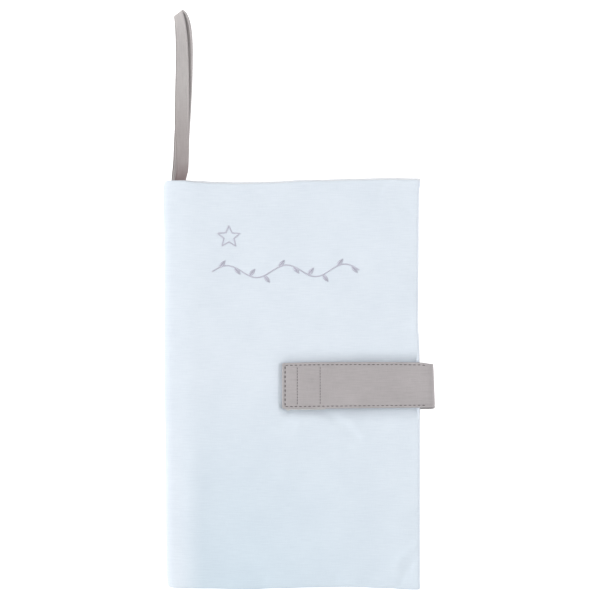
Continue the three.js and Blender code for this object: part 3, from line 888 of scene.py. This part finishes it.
CORNER_X = STRAP_TURN_X - STRAP_BEND
REAR_RUN = CORNER_X - STRAP_REAR_X
BEND_ARC = math.pi / 2 * STRAP_BEND
UPRIGHT_RUN = STRAP_FLAP_Z - STRAP_REAR_Z - 2 * STRAP_BEND
FLAP_RUN = CORNER_X - STRAP_END_X
STRAP_ENDS = np.cumsum([REAR_RUN, BEND_ARC, UPRIGHT_RUN, BEND_ARC, FLAP_RUN])
STRAP_LENGTH = STRAP_ENDS[-1]
STRAP_CUT = STRAP_ENDS[1] + UPRIGHT_RUN / 2
STRAP_STEP = 2.5
UPRIGHT_STEP = 1.2
HEM_ROUND = 0.95
STITCH_GROOVE = 0.3
# How far the strap leans out on its turn, at its low edge and at its top edge.
STRAP_LEAN = (2.5, 0.8)
TAPE_SEAM_LINES = np.array([-1.2, -0.6, 0, 0.6, 1.2])

FLAP_TOP_EDGE = [(-10, 21.2), (20, 21.8), (56, 22.0), (95, 22.0), (125, 21.7), (137, 20.4)]
FLAP_LOW_EDGE = [(-10, -24.5), (30, -24.0), (76, -23.6), (139, -23.0)]
REAR_TOP_Y = 19.2
REAR_LOW_Y = -25.6


def strap_centre(length):
    """The strap's middle line: place, height and direction after a length from its sewn end."""
    first, second = (np.clip((length - STRAP_ENDS[i]) / STRAP_BEND, 0, math.pi / 2) for i in (0, 2))
    out = np.minimum(length, REAR_RUN) + STRAP_BEND * np.sin(first)
    back = np.maximum(length - STRAP_ENDS[3], 0) + STRAP_BEND * (1 - np.cos(second))
    up = np.clip(length - STRAP_ENDS[1], 0, UPRIGHT_RUN) + STRAP_BEND * (1 - np.cos(first) + np.sin(second))
    return STRAP_REAR_X + out - back, STRAP_REAR_Z + up, first + second


def strap_edges(length):
    """Y of the strap's two long edges. The part behind lies a little lower than the flap."""
    x = strap_centre(length)[0]
    up = smooth((length - STRAP_ENDS[0]) / (STRAP_ENDS[3] - STRAP_ENDS[0]))
    low = mix(REAR_LOW_Y, along_knots(FLAP_LOW_EDGE, x), up)
    return low, mix(REAR_TOP_Y, along_knots(FLAP_TOP_EDGE, x), up)


def hem_half(distance):
    """Half thickness at a distance from a hemmed edge, with the groove of its topstitching."""
    hem = 0.12 * bump_at(distance, 1.3, 0.7)
    groove = STITCH_GROOVE * bump_at(distance, STITCH_INSET, 0.5)
    return STRAP_HALF * quarter_round(distance, HEM_ROUND) + hem - groove


def strap_points(length, share, side):
    """Points on the outer (1) or inner (-1) face. share runs from 0 to 1 across the strap."""
    low, high = strap_edges(length)
    across = np.minimum(share, 1 - share) * (high - low)
    from_end = np.minimum(length, STRAP_LENGTH - length)
    half = np.minimum(hem_half(across), hem_half(from_end))
    x, z, turn = strap_centre(length)
    p, q = (np.clip(1 - distance / STRAP_CORNER_RADIUS, 0, 1) for distance in (from_end, across))
    y = mix(low, high, share) - np.sign(share - 0.5) * STRAP_CORNER_RADIUS * corner_pull(q, p)
    x = x + STRAP_CORNER_RADIUS * corner_pull(p, q)
    flap = smooth((length - STRAP_ENDS[3]) / 10)
    for seam_x in TAPE_SEAMS_X:
        groove = STITCH_GROOVE * bump_at(x, seam_x, 0.6) * smooth((across - 2.4) / 0.8)
        half = half - groove * flap
    z = z + (0.18 * waves(x, y, 5, 60, 22) - strap_dip(x)) * flap
    lean = mix(*STRAP_LEAN, (y - STRAP_CENTRE_Y) / STRAP_WIDTH + 0.5) * np.sin(turn)
    out = side * half
    return np.stack([x + lean + out * np.sin(turn), y, z - out * np.cos(turn)], -1)


HEM_LINES = np.array([0, 0.05, 0.18, 0.42, 0.8, 1.3, 1.9, 2.45, 3.0, 3.6])


def add_strap_piece(name, lengths, nodes):
    """A piece of the strap."""
    shares = edged_lines(0, STRAP_WIDTH, HEM_LINES, STRAP_STEP) / STRAP_WIDTH
    length, share = grid(np.unique(np.concatenate(lengths)), shares)
    faces = [strap_points(length, share, side) for side in (-1, 1)]
    uv = length, mix(*strap_edges(length), share)
    piece = closed_piece(name, *faces, uv, STRAP_COTTON)
    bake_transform(piece)
    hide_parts(*nodes)


def arc_lines(start):
    return start + np.linspace(0, BEND_ARC, 10)


def add_strap_rear():
    sewn = evenly(HEM_LINES[-1], STRAP_ENDS[0], STRAP_STEP)
    upright = evenly(STRAP_ENDS[1], STRAP_CUT, UPRIGHT_STEP)
    lengths = [HEM_LINES, sewn, arc_lines(STRAP_ENDS[0]), upright, [STRAP_CUT]]
    add_strap_piece("strap_rear", lengths, ["strap_rear_leg"])


def add_strap_front():
    upright = evenly(STRAP_CUT, STRAP_ENDS[2], UPRIGHT_STEP)
    flap = evenly(STRAP_ENDS[3], STRAP_LENGTH - HEM_LINES[-1], STRAP_STEP)
    seams = [CORNER_X + STRAP_ENDS[3] - x + TAPE_SEAM_LINES for x in TAPE_SEAMS_X]
    lengths = [[STRAP_CUT], upright, arc_lines(STRAP_ENDS[2]), flap, *seams, STRAP_LENGTH - HEM_LINES]
    nodes = ["strap_bend", "strap_flap"]
    add_strap_piece("strap_front", lengths, nodes)


add_strap_rear()
add_strap_front()


# Topstitching.

STITCH_SIZE = (2.8, 1.0, 0.6)
STITCH_PITCH = 4.47
SMALL_STITCH_SIZE = (2.3, 0.5, 0.4)
SMALL_STITCH_PITCH = 2.9
STITCH_LIFT = 0.08
TAPE_STITCH_INSET = 4.2
END_STITCH_INSET = STITCH_INSET + 0.6
ANCHOR_LOW = (68.2, -21.0)
ANCHOR_HIGH = (101.3, 18.0)
ANCHOR_Z = 0.85


def spaced(start, end, pitch):
    count = max(1, round(abs(end - start) / pitch))
    return start + (np.arange(count) + 0.5) * (end - start) / count


def add_stitches(name, places, along, up, body, node, size=SMALL_STITCH_SIZE):
    fix(threads(name, places, along, up, size, THREAD), body, "thread", node)


def on_strap(length, share):
    """Places just over the strap's outer face, and the way along the strap there."""
    places = strap_points(length, share, 1)
    return places + (0, 0, STITCH_LIFT), strap_points(length + 0.05, share, 1) - places


def row_across(length, inset, pitch):
    """Places and directions of a row of stitches across the strap."""
    inset, pitch = inset / STRAP_WIDTH, pitch / STRAP_WIDTH
    shares = spaced(inset, 1 - inset, pitch)
    places, _ = on_strap(np.full(len(shares), length), shares)
    return places, np.tile([0.0, 1, 0], (len(shares), 1))


def add_strap_stitches():
    lengths = spaced(STRAP_ENDS[3] + 1, STRAP_LENGTH - STITCH_INSET, STITCH_PITCH)
    low, high = strap_edges(lengths)
    inset = STITCH_INSET / (high - low)
    rows = [on_strap(lengths, share) for share in (inset, 1 - inset)]
    rows.append(row_across(STRAP_LENGTH - END_STITCH_INSET, STITCH_INSET, STITCH_PITCH))
    places, along = (np.concatenate(part) for part in zip(*rows))
    up = (0, 0, 1)
    add_stitches("strap_edge_stitches", places, along, up, "strap_flap", "strap_edge_seam", STITCH_SIZE)
    for side, x in zip(("outer", "inner"), TAPE_SEAMS_X):
        row = row_across(STRAP_ENDS[3] + CORNER_X - x, TAPE_STITCH_INSET, SMALL_STITCH_PITCH)
        add_stitches(f"hook_tape_stitches_{side}", *row, up, "strap_flap", f"hook_tape_seam_{side}")


def ring_places(low, high, z):
    """Small stitches round a rectangle: places and directions."""
    rows = []
    for axis in (0, 1):
        run = spaced(low[axis], high[axis], SMALL_STITCH_PITCH)
        for side in (low, high):
            row = np.full((len(run), 3), float(z))
            row[:, axis] = run
            row[:, 1 - axis] = side[1 - axis]
            rows.append((row, np.tile(np.eye(3)[axis], (len(run), 1))))
    return [np.concatenate(part) for part in zip(*rows)]


add_strap_stitches()
anchor = ring_places(ANCHOR_LOW, ANCHOR_HIGH, ANCHOR_Z)
add_stitches("strap_anchor_stitches", *anchor, (0, 0, -1), "back_panel", "strap_anchor_seam")


# The hook and loop tapes.

TAPE_BASE = 0.6
TAPE_EDGE = 0.35
TAPE_LINES = np.array([0, 0.1, 0.35, 1]) * TAPE_EDGE
TAPE_STEP = 2
HOOK_RADIUS = 0.1
PILE_RADIUS = 0.07


def slab(name, low, high, finish):
    """A thin slab of tape with rounded edges."""
    x, y = grid(*(edged_lines(*ends, TAPE_LINES, TAPE_STEP) for ends in zip(low[:2], high[:2])))
    half = (high[2] - low[2]) / 2 * quarter_round(border_distances(x, y).min(0), TAPE_EDGE)
    middle = (high[2] + low[2]) / 2
    faces = [np.stack([x, y, middle + side * half], -1) for side in (1, -1)]
    return closed_piece(name, *faces, (x, y), finish)


def node_box(name):
    low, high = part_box(name)
    return np.array(low) / MM, np.array(high) / MM


def scattered(low, high, pitch, margin, seed, jitter):
    """Places in rows over a rectangle, each moved a little."""
    rng = np.random.default_rng(seed)
    lines = [spaced(low[axis] + margin, high[axis] - margin, pitch) for axis in (0, 1)]
    places = np.stack(grid(*lines), -1).reshape(-1, 2)
    return places + rng.uniform(-jitter, jitter, places.shape), rng


# One hook, sideways and up, in shares of its reach.
HOOK_LINE = np.array([(0, 0.1), (0, -0.35), (0.1, -0.75), (0.28, -1.0), (0.42, -0.8), (0.44, -0.55)])


def add_hook_tape():
    low, high = node_box("hook_tape")
    base_low = high[2] - TAPE_BASE
    tape = slab("hook_tape_base", (*low[:2], base_low), high, HOOK_TAPE)
    places, rng = scattered(low, high, pitch=1.25, margin=1.9, seed=21, jitter=0.08)
    reach = base_low - low[2] - 0.1
    way = np.where(rng.random(len(places)) < 0.5, -1.0, 1.0)
    lines = np.zeros((len(places), len(HOOK_LINE), 3))
    lines[..., 0] = places[:, :1] + HOOK_LINE[:, 0] * way[:, None]
    lines[..., 1] = places[:, 1:]
    lines[..., 2] = base_low + HOOK_LINE[:, 1] * reach
    fix(tape, "strap_flap", "hook_tape", "hook_tape")
    fix(tubes("hook_tape_hooks", lines, HOOK_RADIUS, HOOK_TAPE, sides=4), "strap_flap", "hook_tape")


def add_loop_tape():
    low, high = node_box("loop_tape")
    base_high = low[2] + TAPE_BASE
    tape = slab("loop_tape_base", low, (*high[:2], base_high), LOOP_TAPE)
    places, rng = scattered(low, high, pitch=1.3, margin=2.0, seed=22, jitter=0.3)
    angles = np.linspace(-0.35, math.pi + 0.35, 7)
    size = rng.uniform(0.28, 0.46, len(places))[:, None]
    turn = rng.uniform(0, math.pi, len(places))[:, None]
    run = np.cos(angles) * size
    height = base_high - 0.05 + np.sin(angles) * size * 1.1
    x, y = (places[:, axis, None] for axis in (0, 1))
    lines = np.stack([x + run * np.cos(turn), y + run * np.sin(turn), height], -1)
    fix(tape, "front_panel", "loop_tape", "loop_tape")
    fix(tubes("loop_tape_pile", lines, PILE_RADIUS, LOOP_TAPE, sides=4), "front_panel", "loop_tape")
    ring = ring_places(*node_box("loop_tape_seam"), base_high + 0.1)
    add_stitches("loop_tape_stitches", *ring, (0, 0, 1), "front_panel", "loop_tape_seam")


add_hook_tape()
add_loop_tape()


# The carry loop: a band between two edges, from the seam up, round its tip and back.

LOOP_LEFT = [
    (-118.3, 200.4, 4.7), (-117.4, 206, 5.3), (-116.4, 214, 6.6), (-116.7, 232, 10.9), (-117.5, 262, 11.8),
    (-117.2, 290, 11.8), (-116.6, 312, 11.7), (-116.5, 329.5, 11.2), (-117, 346, 9.2),
    (-117.9, 359.5, 5.4), (-118.7, 366.3, 2.2), (-118, 364, 1), (-116.2, 356, 0.85), (-115.3, 345, 0.8),
    (-114.8, 334, 0.8), (-115.2, 306, 0.8), (-116.4, 280, 0.8), (-118.6, 250, 1.6), (-119.6, 224, 3.4),
    (-120.7, 211, 3.2), (-121.2, 206, 3.3), (-121.3, 200.4, 3.7),
]
LOOP_RIGHT = [
    (-107.4, 200.4, 4.7), (-106, 206, 5.3), (-104.2, 214, 6.6), (-103.2, 232, 10.9), (-103, 262, 11.8),
    (-103, 290, 11.8), (-103.4, 312, 11.8), (-103.9, 329.5, 11.8), (-105, 346, 11.8), (-107.2, 361, 11.6),
    (-109.5, 371, 10.9), (-105.9, 368.8, 10.8), (-103, 362.5, 11), (-100.8, 352, 11.2), (-99.6, 335, 11.2),
    (-99.9, 306, 11), (-101, 280, 10), (-102.9, 250, 6.5), (-104.8, 224, 3.4), (-105.8, 211, 2.4),
    (-106.4, 206, 3), (-107.4, 200.4, 3.7),
]
LOOP_WIDTH = 15
LOOP_HALF = 0.78
LOOP_ROUND = 0.8
LOOP_SEAM_INSET = 1.2
# The lower leg starts this much farther from the painted shade near the seam.
LOWER_LEG_LEAD = 60
LEFT_LINES = np.array([0, 0.05, 0.18, 0.42, 0.7, 0.95, 1.2, 1.45, 1.7, 2.1, 2.8, 4, 5.5, 7])
RIGHT_LINES = np.array([0, 0.05, 0.18, 0.42, 0.7, 1, 1.4, 1.8, 2.3, 3, 4, 5.5])


def spline(points, per_span=8):
    """A smooth curve through the points, with the same steps in every span."""
    points = np.array(points, float)
    padded = np.concatenate([2 * points[:1] - points[1:2], points, 2 * points[-1:] - points[-2:-1]])
    weights = spline_weights((np.arange(per_span) / per_span)[:, None])
    spans = [sum(w * padded[i + k] for k, w in enumerate(weights)) for i in range(len(points) - 1)]
    return np.concatenate([*spans, points[-1:]])


def loop_surface():
    """The band's inner and outer face and its cloth coordinates."""
    share = np.concatenate([LEFT_LINES, (LOOP_WIDTH - RIGHT_LINES)[::-1]]) / LOOP_WIDTH
    left, right = spline(LOOP_LEFT), spline(LOOP_RIGHT)
    across, middle = right - left, (left + right) / 2
    width = np.linalg.norm(across, axis=1)[:, None]
    normal = unit(np.cross(across, unit(np.gradient(middle, axis=0))))
    from_left, from_right = share * width, (1 - share) * width
    seam = 0.45 * bump_at(from_left, LOOP_SEAM_INSET, 0.38)
    hem = 0.3 * bump_at(from_right, 0.9, 0.8)
    half = (LOOP_HALF + hem) * quarter_round(np.minimum(from_left, from_right), LOOP_ROUND) - seam
    up = lengths_along(middle)[:, None]
    down = up[-1] - up
    half = half * (1 - 0.45 * (1 - smooth(np.minimum(up, down) / 8)))
    points = left[:, None] + across[:, None] * share[:, None]
    out = half[..., None] * normal[:, None]
    # U is the length from the seam, shifted on the lower leg, and places the painted shade.
    uv = np.broadcast_arrays(np.minimum(up, down + LOWER_LEG_LEAD), from_left)
    return points - out, points + out, uv


def add_carry_loop():
    piece = closed_piece("carry_loop_band", *loop_surface(), LOOP_COTTON)
    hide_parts("carry_loop")
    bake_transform(piece)


add_carry_loop()


# The embroidery: a wavy sprig and a star, in satin stitch.

SPRIG_CENTRE = (-6, 113)
SPRIG_LENGTH = 144
SPRIG_HEIGHT = 6
SPRIG_WAVES = 2.5
LEAF_COUNT = 10
LEAF_LENGTH = 9
LEAF_WIDTH = 3.6
LEAF_SLANT = math.radians(52)
STAR_CENTRE = (-62, 148)
STAR_RADIUS = 11.3
STAR_INNER = 0.45
STEM_WIDTH = 1.15
STRAND_RADIUS = 0.17
STRAND_PITCH = 0.36
STRAND_LIFT = 0.12
STRAND_SINK = 0.2


def on_front(x, y):
    """Height of the front cover at a place, and the place itself after the outline's warp."""
    u = x - RIGHT_X + RIGHT_U
    return panel_points(u, y, cover_height(u, y, 1), 1)


def satin_lines(start, end):
    """Strands that cross from start points to end points, arched over the cloth."""
    share = np.linspace(0, 1, 6)[None, :, None]
    plan = mix(start[:, None], end[:, None], share)
    points = on_front(plan[..., 0], plan[..., 1])
    width = np.linalg.norm(end - start, axis=1)[:, None]
    arch = np.sin(share[..., 0] * math.pi) ** 0.6
    crown = STRAND_SINK + np.minimum(0.35, 0.1 * width + 0.1)
    points[..., 2] += STRAND_LIFT - STRAND_SINK + crown * arch
    return points


def satin_line(line, width, slant=0.35):
    """Satin stitch along a line: short slanting strands side by side."""
    lengths = lengths_along(line)
    at = np.arange(0, lengths[-1], STRAND_PITCH)
    places = np.stack([np.interp(at, lengths, line[:, axis]) for axis in (0, 1)], 1)
    along = unit(np.gradient(places, axis=0))
    across = np.stack([-along[:, 1], along[:, 0]], 1)
    half = (across + along * slant) * width / 2
    return satin_lines(places - half, places + half)


def sprig_point(share):
    x = SPRIG_CENTRE[0] + (share - 0.5) * SPRIG_LENGTH
    return x, SPRIG_CENTRE[1] + SPRIG_HEIGHT * np.sin(share * SPRIG_WAVES * 2 * math.pi)


def leaf_lines(index):
    """A pointed leaf, filled from both sides of its vein."""
    base = np.array(sprig_point((index + 0.5) / LEAF_COUNT))
    angle = LEAF_SLANT * (-1) ** index
    along = np.array([math.cos(angle), math.sin(angle)])
    across = np.array([-along[1], along[0]])
    at = np.arange(0.5, LEAF_LENGTH - 0.2, STRAND_PITCH)
    width = LEAF_WIDTH / 2 * np.sin(math.pi * (at / LEAF_LENGTH) ** 0.85) + 0.15
    vein = base + at[:, None] * along
    back = np.minimum(at, width * 0.9)[:, None] * along
    return [satin_lines(vein - back, vein + side * width[:, None] * across) for side in (-1, 1)]


def star_line():
    corner = np.arange(11)
    reach = STAR_RADIUS * np.where(corner % 2 == 0, 1, STAR_INNER)
    angle = math.pi / 2 + corner * math.pi / 5
    return np.array(STAR_CENTRE) + np.stack([reach * np.cos(angle), reach * np.sin(angle)], 1)


def add_embroidery(name, lines, node):
    piece = tubes(name, np.concatenate(lines), STRAND_RADIUS, EMBROIDERY_THREAD)
    fix(piece, "front_panel", "embroidery_thread", node)


stem = np.stack(sprig_point(np.linspace(0, 1, 200)), 1)
leaves = [line for index in range(LEAF_COUNT) for line in leaf_lines(index)]
add_embroidery("sprig_stitching", [satin_line(stem, STEM_WIDTH), *leaves], "sprig_embroidery")
add_embroidery("star_stitching", [satin_line(star_line(), STEM_WIDTH)], "star_embroidery")


# The table, the light and the white surroundings.

LEFT_SHARE = 0.28
RIGHT_SHARE = 0.17
AMBIENT = 0.58
LAMP_ELEVATION = math.radians(25)
LAMP_TURN = math.radians(88)
LAMP_SPREAD = math.radians(25)
FLOOR_Z = -1.0
FLOOR_REACH = 6000.0
FLOOR_GLOW = 0.7


def seen_directly(nodes):
    """1 for what the camera, a reflection or clear material sees, 0 for light that bounces."""
    path = nodes.add("ShaderNodeLightPath").node.outputs
    seen = nodes.math("MAXIMUM", path["Is Camera Ray"], path["Is Glossy Ray"])
    return nodes.math("MAXIMUM", seen, path["Is Transmission Ray"])


def add_floor():
    nodes, _ = material_nodes("white_table")
    settings = {
        "Base Color": (0.96, 0.96, 0.96, 1),
        "Roughness": 1.0,
        "Specular IOR Level": 0.0,
        "Emission Color": WHITE,
        "Emission Strength": nodes.math("MULTIPLY", seen_directly(nodes), FLOOR_GLOW),
    }
    nodes.fill(nodes.shader, settings)
    corners = np.array([(-1, -1), (1, -1), (1, 1), (-1, 1)]) * FLOOR_REACH
    points = np.insert(corners, 2, FLOOR_Z, axis=1)
    add_mesh("table_top", points, [(0, 1, 2, 3)], corners, nodes.owner)


def add_lamp(name, share, turn):
    """Soft light from far away, turned from the picture's top. Level white gets this share of it."""
    level = math.cos(LAMP_ELEVATION)
    towards = Vector((-math.sin(turn) * level, math.cos(turn) * level, math.sin(LAMP_ELEVATION)))
    data = bpy.data.lights.new(name, "SUN")
    data.angle = LAMP_SPREAD
    data.energy = share * math.pi / math.sin(LAMP_ELEVATION)
    new_object(name, data).rotation_euler = (-towards).to_track_quat("-Z", "Y").to_euler()


def add_world():
    world = bpy.data.worlds.new("white_room")
    bpy.context.scene.world = world
    nodes = Nodes(world, "Background")
    seen = nodes.add("ShaderNodeLightPath", output="Is Camera Ray")
    strength = nodes.add("ShaderNodeMix", {0: seen, 2: AMBIENT, 3: 1.0})
    nodes.fill(nodes.shader, {"Color": WHITE, "Strength": strength})


add_floor()
add_lamp("left_lamp", LEFT_SHARE, LAMP_TURN)
add_lamp("right_lamp", RIGHT_SHARE, -LAMP_TURN)
add_world()
bpy.context.scene.view_settings.view_transform = "Standard"
